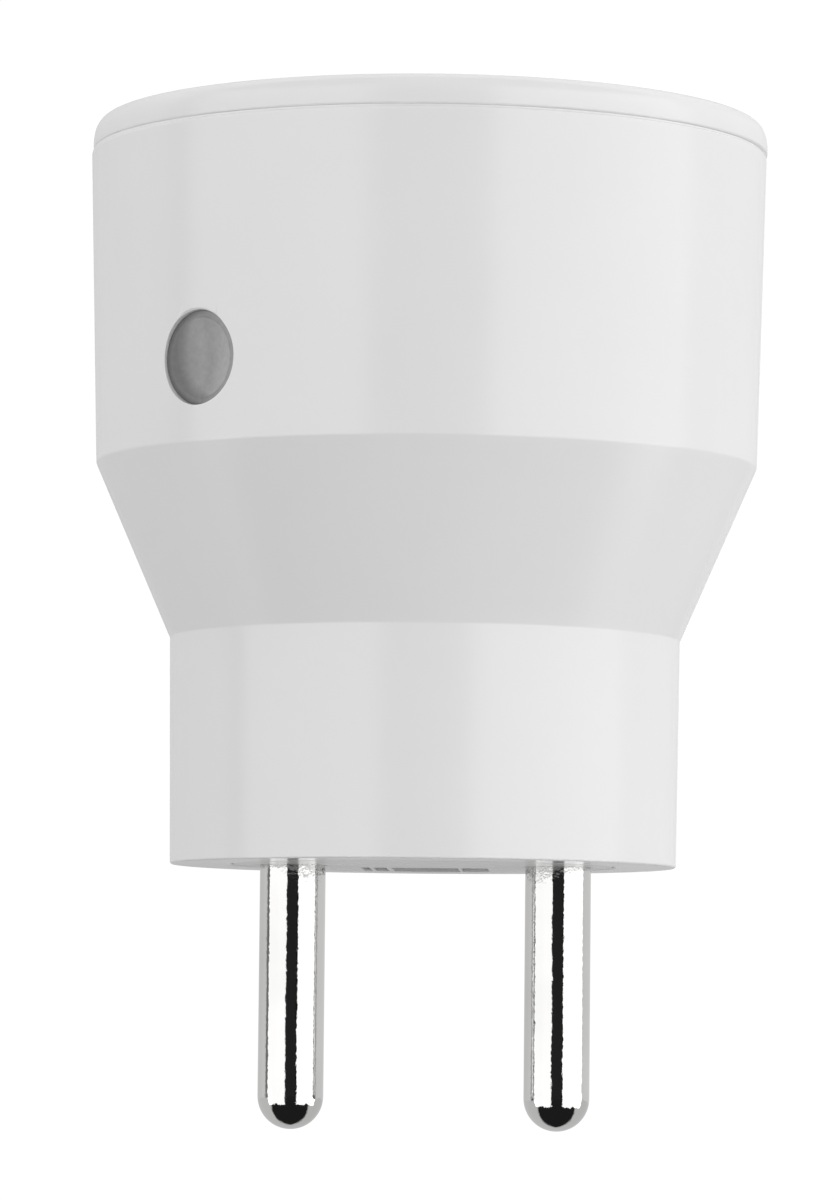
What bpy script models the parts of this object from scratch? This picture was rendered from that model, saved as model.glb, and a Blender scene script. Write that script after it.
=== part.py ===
"""Plug-in power meter: a round adaptor with a two-pin earthed plug below and an earthed socket above.

The plug's engagement face is z = 0, its pins point along -Z, and the socket opens along +Z.
The earth side of the plug and of the socket is +Y. All dimensions are in millimetres and
MM turns them into metres when a shape is made.
"""

import math

import bmesh
import bpy
from mathutils import Matrix, Vector

MM = 0.001

# Plug and socket standard sizes
PIN_SPACING = 19.0
PIN_R = 2.4
PIN_LENGTH = 19.0
EARTH_Y = 10.0
EARTH_PIN_RISE = 14.0
EARTH_PIN_REACH = 14.0

# Outer shell
BASE_R = 18.12
CONE_FOOT_R, CONE_FOOT_Z = 18.3, 16.3
CONE_HEAD_R, CONE_HEAD_Z = 23.8, 28.65
SEAM_R, SEAM_Z = 24.4, 51.3
CAP_R = 24.5
TOP_Z = 53.8
RIM_Z = 0.0
WALL = 2.1
GAP = 0.3

# Socket well
WELL_R = 19.5
FLOOR_Z = 38.4
FLOOR_T = 1.8
SCREW_R = 15.6
SCREW_SIDE = (10.2, 11.8)

# Push button, at this angle round from -Y towards -X
BUTTON_ANGLE = math.radians(40.0)
BUTTON_Z = 34.6
BUTTON_HOLE_R = 3.35
BUTTON_R = 3.05
BUTTON_FACE = 23.55
BUTTON_TRAVEL = 0.4

# Boards
BOARD_R, BOARD_Z, BOARD_T = 16.0, 17.0, 1.6
BOARD_POST = (13.2, 4.6)

# Shutter
SHUTTER_Z, SHUTTER_T, SHUTTER_PAD_R = 34.75, 1.5, 2.9

HALF = PIN_SPACING / 2
UNDER = FLOOR_Z - FLOOR_T

for old in list(bpy.data.objects):
    bpy.data.objects.remove(old, do_unlink=True)
for block_of_data in (bpy.data.meshes, bpy.data.curves, bpy.data.materials):
    for old in list(block_of_data):
        block_of_data.remove(old)

parts = bpy.data.collections.new("plug_in_power_meter")
cutters = bpy.data.collections.new("cutters")
bpy.context.scene.collection.children.link(parts)
bpy.context.scene.collection.children.link(cutters)
cutters.hide_render = True

tool_count = 0


def link_tool(obj):
    """Keeps a helper solid out of the finished object until it's named as a part."""
    global tool_count
    tool_count += 1
    obj.name = "tool_%03d" % tool_count
    cutters.objects.link(obj)
    obj.hide_render = True
    obj.display_type = "WIRE"
    return obj


def mesh_tool(bm):
    mesh = bpy.data.meshes.new("tool")
    bm.to_mesh(mesh)
    bm.free()
    return link_tool(bpy.data.objects.new("tool", mesh))


def block(x0, x1, y0, y1, z0, z1, turn=0.0):
    """A box between two corners, turned about the Z axis of its own frame."""
    bm = bmesh.new()
    bmesh.ops.create_cube(bm, size=1.0)
    size = Matrix.Diagonal(((x1 - x0) * MM, (y1 - y0) * MM, (z1 - z0) * MM, 1.0))
    middle = Vector(((x0 + x1) / 2, (y0 + y1) / 2, (z0 + z1) / 2)) * MM
    place = Matrix.Rotation(turn, 4, "Z") @ Matrix.Translation(middle) @ size
    bmesh.ops.transform(bm, matrix=place, verts=bm.verts)
    return mesh_tool(bm)


def drum(r, start, end, sides=24, r_end=None, phase=0.0):
    """A cylinder or a cone frustum from one point to another."""
    start, end = Vector(start) * MM, Vector(end) * MM
    along = end - start
    bm = bmesh.new()
    bmesh.ops.create_cone(
        bm,
        cap_ends=True,
        segments=sides,
        radius1=r * MM,
        radius2=(r if r_end is None else r_end) * MM,
        depth=along.length,
    )
    aim = Vector((0, 0, 1)).rotation_difference(along).to_matrix().to_4x4()
    place = Matrix.Translation((start + end) / 2) @ aim @ Matrix.Rotation(phase, 4, "Z")
    bmesh.ops.transform(bm, matrix=place, verts=bm.verts)
    mesh = mesh_tool(bm)
    mesh.data.shade_smooth()
    mesh.data.set_sharp_from_angle(angle=math.radians(35))
    return mesh


def turned(profile, sides=32, ring=False, centre=(0.0, 0.0)):
    """A turned shape. The profile holds (radius, z), and runs down its outer side from top to bottom."""
    mesh = bpy.data.meshes.new("profile")
    points = [(r * MM, 0.0, z * MM) for r, z in profile]
    edges = [(i, i + 1) for i in range(len(points) - 1)]
    if ring:
        edges.append((len(points) - 1, 0))
    mesh.from_pydata(points, edges, [])
    obj = link_tool(bpy.data.objects.new("tool", mesh))
    screw = obj.modifiers.new("turn", "SCREW")
    screw.axis = "Z"
    screw.angle = 2 * math.pi
    screw.steps = screw.render_steps = sides
    screw.use_merge_vertices = True
    screw.merge_threshold = 0.00001
    screw.use_smooth_shade = True
    obj.location = (centre[0] * MM, centre[1] * MM, 0.0)
    return obj


def as_mesh(curve_obj, place=None):
    """The curve's solid as a mesh with its caps welded on."""
    bpy.context.view_layer.update()
    graph = bpy.context.evaluated_depsgraph_get()
    made = bpy.data.meshes.new_from_object(curve_obj.evaluated_get(graph))
    bm = bmesh.new()
    bm.from_mesh(made)
    bmesh.ops.remove_doubles(bm, verts=bm.verts, dist=0.000001)
    if place is not None:
        bmesh.ops.transform(bm, matrix=place, verts=bm.verts)
    bmesh.ops.recalc_face_normals(bm, faces=bm.faces)
    bpy.data.objects.remove(curve_obj, do_unlink=True)
    bpy.data.meshes.remove(made)
    return mesh_tool(bm)


def plate(outline, z0, z1, stand_up=False):
    """A flat outline with a thickness. stand_up turns its own Y to Z, and its thickness to -Y."""
    curve = bpy.data.curves.new("outline", "CURVE")
    curve.dimensions = "2D"
    curve.fill_mode = "BOTH"
    curve.extrude = (z1 - z0) / 2 * MM
    spline = curve.splines.new("POLY")
    spline.points.add(len(outline) - 1)
    for point, (x, y) in zip(spline.points, outline):
        point.co = (x * MM, y * MM, 0.0, 1.0)
    spline.use_cyclic_u = True
    obj = bpy.data.objects.new("outline", curve)
    bpy.context.scene.collection.objects.link(obj)
    place = Matrix.Translation((0, 0, (z0 + z1) / 2 * MM))
    if stand_up:
        place = Matrix.Rotation(math.pi / 2, 4, "X") @ place
    return as_mesh(obj, place)


def wire(path, r, resolution=1):
    """A round wire along a path of points."""
    curve = bpy.data.curves.new("wire", "CURVE")
    curve.dimensions = "3D"
    curve.bevel_depth = r * MM
    curve.bevel_resolution = resolution
    curve.use_fill_caps = True
    spline = curve.splines.new("POLY")
    spline.points.add(len(path) - 1)
    for point, (x, y, z) in zip(spline.points, path):
        point.co = (x * MM, y * MM, z * MM, 1.0)
    obj = bpy.data.objects.new("wire", curve)
    bpy.context.scene.collection.objects.link(obj)
    return as_mesh(obj)


def boolean(obj, tools, operation, label):
    for tool in tools:
        # A tool follows its part, in the part's own frame.
        tool.parent = obj
        modifier = obj.modifiers.new(label, "BOOLEAN")
        modifier.operation = operation
        modifier.solver = "EXACT"
        modifier.object = tool


def join(obj, *tools):
    boolean(obj, tools, "UNION", "join")


def cut(obj, *tools):
    boolean(obj, tools, "DIFFERENCE", "cut")


def soften(obj, width, segments=1):
    """Rounds the sharp edges made so far."""
    bevel = obj.modifiers.new("edges", "BEVEL")
    bevel.width = width * MM
    bevel.segments = segments
    bevel.limit_method = "ANGLE"
    bevel.angle_limit = math.radians(40)


def part(name, obj, colour, roughness, metallic=0.0, parent=None, alpha=1.0):
    """Makes a solid into a named part with its own material."""
    cutters.objects.unlink(obj)
    parts.objects.link(obj)
    obj.name = name
    obj.data.name = name
    obj.hide_render = False
    obj.display_type = "TEXTURED"
    obj.parent = parent
    material = bpy.data.materials.new(name)
    material.use_nodes = True
    shader = material.node_tree.nodes["Principled BSDF"]
    shader.inputs["Base Color"].default_value = (*colour, 1.0)
    shader.inputs["Roughness"].default_value = roughness
    shader.inputs["Metallic"].default_value = metallic
    shader.inputs["Alpha"].default_value = alpha
    obj.data.materials.clear()
    obj.data.materials.append(material)
    return obj


def arc(cx, cz, r, start, end, steps):
    """Points round an arc in a profile, angles in degrees from +X towards +Z."""
    angles = [math.radians(start + (end - start) * i / steps) for i in range(steps + 1)]
    return [(cx + r * math.cos(a), cz + r * math.sin(a)) for a in angles]


WHITE = (0.82, 0.82, 0.82)
NICKEL = (0.66, 0.65, 0.62)
BRASS = (0.72, 0.55, 0.26)
SCREWS = [(SCREW_SIDE[0], SCREW_SIDE[1]), (-SCREW_SIDE[0], SCREW_SIDE[1]), (0.0, -SCREW_R)]

# ---------------------------------------------------------------- main housing
housing_profile = [
    (22.0, 51.0),
    (24.1, 51.0),
    (24.38, 50.7),
    (CONE_HEAD_R, CONE_HEAD_Z),
    (CONE_FOOT_R, CONE_FOOT_Z),
    (BASE_R, RIM_Z + 0.5),
    (BASE_R - 0.15, RIM_Z + 0.15),
    (BASE_R - 0.5, RIM_Z),
    (14.0, RIM_Z),
    (14.0, 2.2),
    (16.2, 2.2),
    (16.2, CONE_FOOT_Z + 0.3),
    (21.8, 29.2),
]
housing = part("main_housing", turned(housing_profile, 48, ring=True), WHITE, 0.38)
for x, y in SCREWS:
    join(housing, drum(2.9, (x, y, 19.6), (x, y, 35.1), 16))
    outward = math.atan2(y, x)
    join(housing, block(16.4, 22.7, -0.8, 0.8, 28.0, 34.0, turn=outward))
for x, y in SCREWS:
    cut(housing, drum(1.5, (x, y, 26.0), (x, y, 36.0), 10))
button_line = Vector((-math.sin(BUTTON_ANGLE), -math.cos(BUTTON_ANGLE), 0.0))
lift = Vector((0.0, 0.0, BUTTON_Z))
cut(housing, drum(BUTTON_HOLE_R, button_line * 19.0 + lift, button_line * 26.0 + lift, 24))

# ---------------------------------------------------------------- socket cover
rim_curve = [
    (CAP_R - 1.1 + 1.1 * math.cos(a), TOP_Z - 1.9 + 1.9 * math.sin(a))
    for a in [math.radians(90 - 22.5 * i) for i in range(5)]
]
cover_profile = (
    [(0.0, FLOOR_Z), (WELL_R, FLOOR_Z), (WELL_R + 0.2, TOP_Z - 0.8), (WELL_R + 0.8, TOP_Z)]
    + rim_curve
    + [
        (CAP_R, SEAM_Z),
        (21.65, SEAM_Z),
        (21.65, 49.5),
        (20.7, 49.5),
        (20.7, UNDER),
        (0.0, UNDER),
    ]
)
cover = part("socket_cover", turned(cover_profile, 48), WHITE, 0.38)
for x, y in SCREWS:
    join(cover, drum(3.4, (x, y, UNDER - 1.2), (x, y, UNDER + 0.9), 16))
for side in (-1, 1):
    x = side * HALF
    cut(cover, drum(2.65, (x, 0, UNDER - 1), (x, 0, FLOOR_Z + 1), 16))
    cut(cover, drum(2.4, (x, 0, FLOOR_Z - 0.7), (x, 0, FLOOR_Z + 0.3), 16, r_end=3.4))
cut(cover, drum(PIN_R + GAP, (0, EARTH_Y, UNDER - 1), (0, EARTH_Y, FLOOR_Z + 1), 16))
for x, y in SCREWS:
    cut(cover, drum(2.9, (x, y, 36.8), (x, y, FLOOR_Z + 1), 16))
    cut(cover, drum(1.5, (x, y, 34.0), (x, y, 37.5), 10))

# ---------------------------------------------------------------- plug base insert
base_profile = [
    (0.0, 2.0),
    (12.6, 2.0),
    (12.6, 4.3),
    (15.8, 4.3),
    (15.8, 2.5),
    (13.7, 2.5),
    (13.7, 0.35),
    (13.35, 0.0),
    (0.0, 0.0),
]
base = part("base_insert", turned(base_profile, 36), WHITE, 0.45)
for side in (-1, 1):
    join(base, drum(5.2, (side * HALF, 0, 0.5), (side * HALF, 0, 6.2), 24))
    x, y = side * BOARD_POST[0], BOARD_POST[1]
    join(base, drum(1.9, (x, y, 0.8), (x, y, BOARD_Z - GAP), 12))
join(base, block(-5.6, 5.6, 4.6, 14.2, 0.6, BOARD_Z - 0.5))
# Below the flange the bosses, posts and tower end at the disc's rim, clear of the housing's lip.
cut(base, turned([(17.5, 2.45), (17.5, -1.0), (13.75, -1.0), (13.75, 2.45)], 36, ring=True))
for side in (-1, 1):
    cut(base, drum(PIN_R + GAP, (side * HALF, 0, -1), (side * HALF, 0, 3), 20))
    cut(base, drum(3.8, (side * HALF, 0, 2.0), (side * HALF, 0, 7.0), 20))
    x, y = side * BOARD_POST[0], BOARD_POST[1]
    cut(base, drum(1.0, (x, y, 8.0), (x, y, 18.0), 8))
window = [(-4.5, 5.6), (4.5, 5.6)] + [
    (12.95 * math.sin(a), 12.95 * math.cos(a))
    for a in [math.asin(4.5 / 12.95) * (1 - i / 4) for i in range(9)]
]
cut(base, plate(window, -1.0, 1.6))
cut(base, block(-3.5, 3.5, 6.2, 12.9, -1.2, 15.2))
cut(base, block(-2.3, 2.3, EARTH_Y - 0.6, EARTH_Y + 0.6, 14.0, 18.0))

# ---------------------------------------------------------------- plug pins
pin_profile = [
    (0.0, 8.5),
    (1.35, 8.5),
    (1.75, 8.1),
    (1.75, 3.5),
    (3.5, 3.5),
    (3.5, 2.3),
    (PIN_R, 2.3),
] + arc(0.0, PIN_R - PIN_LENGTH, PIN_R, 0, -90, 4)
for name, side in (("line_pin", -1), ("neutral_pin", 1)):
    pin = part(name, turned(pin_profile, 20), NICKEL, 0.12, 1.0)
    pin.location = (side * HALF * MM, 0.0, 0.0)

# ---------------------------------------------------------------- earth path
earth_profile = (
    [(0.0, FLOOR_Z + EARTH_PIN_RISE)]
    + [p for p in reversed(arc(0.0, FLOOR_Z + EARTH_PIN_RISE - PIN_R, PIN_R, 0, 90, 4))][1:]
    + [(PIN_R, 36.3), (3.6, 36.3), (3.6, 34.8), (1.8, 34.8), (1.8, 29.9), (0.0, 29.9)]
)
earth_pin = part("earth_pin", turned(earth_profile, 20), NICKEL, 0.15, 1.0)
earth_pin.location = (0.0, EARTH_Y * MM, 0.0)

LEAF = [(1.8, 2.65), (3.4, 2.5), (7.0, 2.45), (11.0, 2.5), (14.3, 2.6)]
LEAF_T = 0.5
clip_outline = (
    [(x + LEAF_T, z) for z, x in LEAF]
    + [(3.1, 14.9), (-3.1, 14.9)]
    + [(-x - LEAF_T, z) for z, x in reversed(LEAF)]
    + [(-x, z) for z, x in LEAF]
    + [(x, z) for z, x in reversed(LEAF)]
)
clip = part("earth_clip", plate(clip_outline, -2.5, 2.5, stand_up=True), NICKEL, 0.3, 1.0)
clip.location = (0.0, EARTH_Y * MM, 0.0)
strap = part(
    "earth_strap",
    block(-2.0, 2.0, EARTH_Y - 0.3, EARTH_Y + 0.3, 15.2, 29.6),
    BRASS,
    0.35,
    1.0,
)
soften(strap, 0.12)

# ---------------------------------------------------------------- contacts and busbars
for name, side in (("line_contact", -1), ("neutral_contact", 1)):
    tube = [(2.5, 32.6), (3.0, 32.6), (3.0, 21.3), (2.5, 21.3)]
    contact = part(name, turned(tube, 16, ring=True), BRASS, 0.3, 1.0)
    join(contact, block(2.6, 3.3, -1.5, 1.5, 15.8, 24.0))
    cut(contact, block(-4, 4, -0.4, 0.4, 25.0, 34.0), block(-0.4, 0.4, -4, 4, 25.0, 34.0))
    contact.location = (side * HALF * MM, 0.0, 0.0)
    contact.rotation_euler = (0.0, 0.0, 0.0 if side > 0 else math.pi)

for name, side in (("line_busbar", -1), ("neutral_busbar", 1)):
    busbar = part(name, drum(3.6, (0, 0, 6.5), (0, 0, 7.3), 16), BRASS, 0.3, 1.0)
    join(busbar, block(1.0, 5.1, -1.6, 1.6, 6.5, 7.3))
    join(busbar, block(4.3, 5.1, -1.6, 1.6, 6.7, 20.0))
    cut(busbar, drum(2.05, (0, 0, 5), (0, 0, 9), 12))
    busbar.location = (side * HALF * MM, 0.0, 0.0)
    busbar.rotation_euler = (0.0, 0.0, 0.0 if side > 0 else math.pi)

# ---------------------------------------------------------------- contact carrier
carrier_outline = [
    (-14.4, -4.9),
    (14.4, -4.9),
    (14.4, 4.9),
    (5.0, 4.9),
    (5.0, 13.2),
    (4.0, 14.2),
    (-4.0, 14.2),
    (-5.0, 13.2),
    (-5.0, 4.9),
    (-14.4, 4.9),
]
carrier = part("contact_carrier", plate(carrier_outline, 33.0, 34.4), (0.16, 0.16, 0.17), 0.6)
for side in (-1, 1):
    join(carrier, drum(4.85, (side * HALF, 0, 20.8), (side * HALF, 0, 33.6), 20))
join(carrier, drum(5.0, (0, 0, 18.9), (0, 0, 33.8), 20))
for side in (-1, 1):
    cut(carrier, drum(4.0, (side * HALF, 0, 20.0), (side * HALF, 0, 33.1), 20))
    cut(carrier, drum(2.8, (side * HALF, 0, 32.0), (side * HALF, 0, 35.0), 16))
cut(carrier, drum(4.0, (0, 0, 18.0), (0, 0, 29.4), 20))
cut(carrier, drum(4.2, (0, 0, 30.2), (0, 0, 35.0), 20))
cut(carrier, drum(2.1, (0, EARTH_Y, 32.0), (0, EARTH_Y, 35.0), 12))
join(carrier, drum(1.9, (0, 0, 29.8), (0, 0, 36.3), 16))

# ---------------------------------------------------------------- shutter and its spring
shutter = part("shutter", drum(4.6, (0, 0, 0), (0, 0, SHUTTER_T), 24), (0.75, 0.75, 0.76), 0.4)
join(shutter, block(-HALF, HALF, -1.9, 1.9, 0.001, SHUTTER_T - 0.001))
for side in (-1, 1):
    join(
        shutter,
        drum(SHUTTER_PAD_R, (side * HALF, 0, -0.001), (side * HALF, 0, SHUTTER_T + 0.001), 20),
    )
cut(shutter, drum(2.2, (0, 0, -1), (0, 0, SHUTTER_T + 1), 16))
shutter.location = (0.0, 0.0, SHUTTER_Z * MM)

COIL_R, COIL_TURNS, COIL_STEPS = 3.1, 3, 10
coil = [
    (
        COIL_R * math.cos(2 * math.pi * i / COIL_STEPS),
        COIL_R * math.sin(2 * math.pi * i / COIL_STEPS),
        30.8 + 2.4 * i / (COIL_TURNS * COIL_STEPS),
    )
    for i in range(COIL_TURNS * COIL_STEPS + 1)
]
spring = part("shutter_spring", wire(coil + [(3.15, 0.25, 34.3)], 0.25), (0.6, 0.6, 0.6), 0.25, 1.0)

# ---------------------------------------------------------------- power board
board = part("power_board", drum(BOARD_R, (0, 0, BOARD_Z), (0, 0, BOARD_Z + BOARD_T), 36), (0.05, 0.22, 0.10), 0.5)
for side in (-1, 1):
    inner, outer = sorted((side * 11.8, side * 13.1))
    cut(board, block(inner, outer, -1.8, 1.8, 16.0, 20.0))
    inner, outer = sorted((side * 13.5, side * 14.9))
    cut(board, block(inner, outer, -1.9, 1.9, 15.9, 20.1))
    x, y = side * BOARD_POST[0], BOARD_POST[1]
    cut(board, drum(1.1, (x, y, 16), (x, y, 20), 12))
cut(board, block(-2.4, 2.4, EARTH_Y - 0.7, EARTH_Y + 0.7, 16.0, 20.0))

ABOVE = BOARD_Z + BOARD_T + GAP
BELOW = BOARD_Z - GAP

relay = part("relay", block(-8.75, 11.75, -12.1, -5.25, ABOVE, 34.4), (0.03, 0.05, 0.09), 0.35)
soften(relay, 0.5)
film = part("mains_capacitor", block(-6.5, 6.5, -14.1, -8.4, 7.0, BELOW), (0.62, 0.50, 0.12), 0.35)
soften(film, 0.6)
varistor = part("surge_varistor", drum(4.4, (0, -7.7, 11.2), (0, -4.4, 11.2), 20), (0.04, 0.12, 0.42), 0.4)
soften(varistor, 0.7)
join(varistor, block(-2.9, -2.1, -6.9, -6.4, 13.0, BELOW), block(2.1, 2.9, -5.7, -5.2, 13.0, BELOW))
can_profile = [
    (0.0, BELOW),
    (2.2, BELOW),
    (3.0, BELOW - 0.5),
    (3.0, BELOW - 1.3),
    (2.75, BELOW - 1.7),
    (3.0, BELOW - 2.1),
    (3.0, 6.9),
    (2.6, 6.5),
    (0.0, 6.5),
]
can = part("smoothing_capacitor", turned(can_profile, 16), (0.03, 0.03, 0.05), 0.35)
can.location = (-HALF * MM, 8.6 * MM, 0.0)
core_profile = [
    (0.0, BELOW),
    (3.0, BELOW),
    (3.0, BELOW - 1.2),
    (2.45, BELOW - 1.3),
    (2.45, 9.3),
    (3.0, 9.2),
    (3.0, 8.0),
    (0.0, 8.0),
]
core = part("filter_inductor", turned(core_profile, 16), (0.35, 0.14, 0.05), 0.4)
core.location = (HALF * MM, 8.6 * MM, 0.0)
fuse_profile = [
    (0.0, 29.4),
    (1.4, 29.4),
    (1.6, 29.2),
    (1.6, 27.4),
    (1.35, 27.2),
    (1.35, 21.4),
    (1.6, 21.2),
    (1.6, ABOVE),
    (0.0, ABOVE),
]
fuse = part("line_fuse", turned(fuse_profile, 12), (0.70, 0.66, 0.55), 0.3)
fuse.location = (13.75 * MM, -6.3 * MM, 0.0)
shunt = part("current_shunt", block(-13.8, -9.6, -8.2, -5.4, ABOVE, 22.5), (0.55, 0.38, 0.28), 0.35, 1.0)
cut(shunt, block(-12.9, -10.5, -9.0, -4.0, 17.0, 21.6))
supply = part("supply_chip", block(3.7, 8.3, 5.8, 9.4, ABOVE + 0.15, 21.2), (0.02, 0.02, 0.02), 0.5)
join(supply, block(3.2, 8.8, 6.2, 9.0, ABOVE, ABOVE + 0.6))
bridge = part("bridge_rectifier", block(-8.5, -3.5, 5.8, 9.4, ABOVE + 0.15, 21.8), (0.02, 0.02, 0.02), 0.5)
join(bridge, block(-8.2, -3.8, 5.3, 9.9, ABOVE, ABOVE + 0.6))
for index, side in enumerate((-1, 1), 1):
    screw_profile = [
        (0.0, 20.2),
        (1.3, 20.2),
        (1.9, 19.7),
        (1.9, ABOVE),
        (0.7, ABOVE),
        (0.7, 9.5),
        (0.0, 9.0),
    ]
    screw = part("board_screw_%d" % index, turned(screw_profile, 12), (0.55, 0.55, 0.55), 0.3, 1.0)
    cut(screw, block(-1.3, 1.3, -0.22, 0.22, 19.6, 21.0), block(-0.22, 0.22, -1.3, 1.3, 19.61, 21.01))
    screw.location = (side * BOARD_POST[0] * MM, BOARD_POST[1] * MM, 0.0)

# ---------------------------------------------------------------- control board, behind the button
# In this frame X points out through the button, Y runs along the board and Z is up.
control_frame = bpy.data.objects.new("control_frame", None)
parts.objects.link(control_frame)
control_frame.rotation_euler = (0.0, 0.0, -math.pi / 2 - BUTTON_ANGLE)

control = part("control_board", block(15.5, 16.5, -8.5, 8.5, 23.8, 36.0), (0.05, 0.22, 0.10), 0.5, parent=control_frame)
soften(control, 0.25)
socket = part("board_connector", block(15.4, 16.5, -3.4, 3.4, ABOVE, 23.5), (0.75, 0.72, 0.60), 0.5, parent=control_frame)
soften(socket, 0.15)
meter_chip = part("metering_chip", block(16.95, 17.8, 1.9, 6.1, 25.0, 30.0), (0.02, 0.02, 0.02), 0.5, parent=control_frame)
join(meter_chip, block(16.8, 17.2, 1.3, 6.7, 25.5, 29.5))
radio = part("radio_module", block(16.8, 18.0, -7.3, -0.5, 25.2, 30.6), (0.6, 0.6, 0.58), 0.35, 1.0, parent=control_frame)
soften(radio, 0.25)
led = part("status_led", block(16.8, 17.8, 3.2, 4.8, 32.8, 34.4), (0.85, 0.9, 0.85), 0.2, parent=control_frame)
join(led, drum(0.6, (17.5, 4.0, 33.6), (18.3, 4.0, 33.6), 16, r_end=0.4))
tact = part("tact_switch", block(16.8, 19.8, -2.3, 2.3, 31.3, 35.9), (0.03, 0.03, 0.03), 0.5, parent=control_frame)
soften(tact, 0.2)
cut(tact, drum(1.8, (17.9, 0, 33.6), (21.0, 0, 33.6), 20))
plunger = part("switch_plunger", drum(1.45, (18.6, 0, 0), (19.3, 0, 0), 20), (0.6, 0.1, 0.08), 0.5, parent=control_frame)
join(plunger, drum(1.1, (19.1, 0, 0), (20.2, 0, 0), 20))
plunger.location = (0.0, 0.0, 33.6 * MM)

button = part("push_button", drum(BUTTON_R, (20.9, 0, 0), (BUTTON_FACE, 0, 0), 24), (0.36, 0.36, 0.37), 0.3, parent=control_frame)
join(button, drum(4.1, (20.5, 0, 0), (21.1, 0, 0), 24))
DISH_R = 8.0
dish_centre = BUTTON_FACE - 0.5 + DISH_R
dish_profile = [(0.0, dish_centre)] + [
    (DISH_R * math.sin(a), dish_centre - DISH_R * math.cos(a))
    for a in [math.radians(90 - 8 * i) for i in range(8)]
] + [(DISH_R * math.sin(math.radians(a)), dish_centre - DISH_R * math.cos(math.radians(a))) for a in (22, 16, 10, 5)] + [(0.0, dish_centre - DISH_R)]
dish = turned(dish_profile, 24)
dish.rotation_euler = (0.0, math.pi / 2, 0.0)
cut(button, dish)
cut(button, block(19.0, 21.6, -6.0, 6.0, 36.2 - BUTTON_Z, 8.0))
button.location = (0.0, 0.0, BUTTON_Z * MM)

AERIAL_TURNS, AERIAL_STEPS = 4, 10
aerial_path = [(-17.0, -6.2, 25.1)] + [
    (
        -16.6 + 2.0 * math.cos(-math.pi / 2 - 2 * math.pi * i / AERIAL_STEPS),
        3.2 + 2.0 * math.sin(-math.pi / 2 - 2 * math.pi * i / AERIAL_STEPS),
        25.2 + 7.2 * i / (AERIAL_TURNS * AERIAL_STEPS),
    )
    for i in range(AERIAL_TURNS * AERIAL_STEPS + 1)
]
aerial = part("antenna_coil", wire(aerial_path, 0.3), (0.65, 0.35, 0.18), 0.3, 1.0)

# ---------------------------------------------------------------- cover screws
for index, (x, y) in enumerate(SCREWS, 1):
    screw_profile = [
        (0.0, 38.2),
        (2.1, 38.2),
        (2.6, 37.8),
        (2.6, 37.1),
        (1.2, 37.1),
        (1.2, 27.6),
        (0.0, 27.0),
    ]
    screw = part("cover_screw_%d" % index, turned(screw_profile, 12), (0.5, 0.5, 0.5), 0.3, 1.0)
    cut(screw, drum(1.15, (0, 0, 37.45), (0, 0, 39.0), 6))
    screw.location = (x * MM, y * MM, 0.0)

bpy.context.view_layer.update()
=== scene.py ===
"""Plug-in power meter: the fine surface, materials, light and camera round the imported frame."""

import math

import bmesh
import bpy
from mathutils import Matrix, Vector


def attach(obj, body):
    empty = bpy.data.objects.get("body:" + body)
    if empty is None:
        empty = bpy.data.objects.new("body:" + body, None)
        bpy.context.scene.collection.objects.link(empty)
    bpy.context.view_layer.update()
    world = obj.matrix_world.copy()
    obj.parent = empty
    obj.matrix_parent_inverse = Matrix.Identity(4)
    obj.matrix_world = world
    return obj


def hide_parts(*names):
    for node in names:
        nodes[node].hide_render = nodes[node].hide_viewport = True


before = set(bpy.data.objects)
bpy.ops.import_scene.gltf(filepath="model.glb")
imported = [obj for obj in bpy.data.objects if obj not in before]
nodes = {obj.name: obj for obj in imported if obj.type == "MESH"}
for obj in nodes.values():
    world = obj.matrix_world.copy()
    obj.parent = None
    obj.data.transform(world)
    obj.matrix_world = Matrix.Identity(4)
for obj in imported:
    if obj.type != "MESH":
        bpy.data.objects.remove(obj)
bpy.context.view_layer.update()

MM = 0.001
PIN_R, PIN_LENGTH, HALF = 2.36, 18.90, 9.5
PIN_X = (-9.34, 9.73)
EARTH_Y, FLOOR_Z, TOP_Z, SEAM_Z = 10.0, 38.4, 53.74, 51.4
SEAM_R, HEAD_R, HEAD_Z, FOOT_R, FOOT_Z, BASE_R = 24.42, 23.82, 28.81, 18.36, 16.27, 18.17
CAP_R, POST_Z = 24.4, 16.7
BUTTON_ANGLE, BUTTON_Z = math.radians(40.0), 34.6
OUT = Vector((-math.sin(BUTTON_ANGLE), -math.cos(BUTTON_ANGLE), 0.0))
SIDE = Vector((math.cos(BUTTON_ANGLE), -math.sin(BUTTON_ANGLE), 0.0))
SCREWS = [(10.2, 11.8), (-10.2, 11.8), (0.0, -15.6)]
ADAPTOR = "adaptor"


# ------------------------------------------------------------------ shape tools
def rounded(profile):
    """Points of a profile whose corners are rounded: (r, z, corner radius)."""
    out = []
    count = len(profile)
    for i, (r, z, fillet) in enumerate(profile):
        here = Vector((r, z))
        if not fillet or i in (0, count - 1):
            out.append((r, z))
            continue
        a = Vector(profile[i - 1][:2]) - here
        b = Vector(profile[(i + 1) % count][:2]) - here
        la, lb = a.length, b.length
        a.normalize()
        b.normalize()
        half = a.angle(b) / 2
        back = min(fillet / math.tan(half), la * 0.48, lb * 0.48)
        size = back * math.tan(half)
        start, end = here + a * back, here + b * back
        centre = here + (a + b).normalized() * (size / math.sin(half))
        u, v = start - centre, end - centre
        sweep = u.angle(v)
        steps = max(3, int(round(math.degrees(sweep) / 12)))
        for k in range(steps + 1):
            t = k / steps
            w = (u * math.sin((1 - t) * sweep) + v * math.sin(t * sweep)) / math.sin(sweep)
            out.append(tuple(centre + w))
    return out


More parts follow.
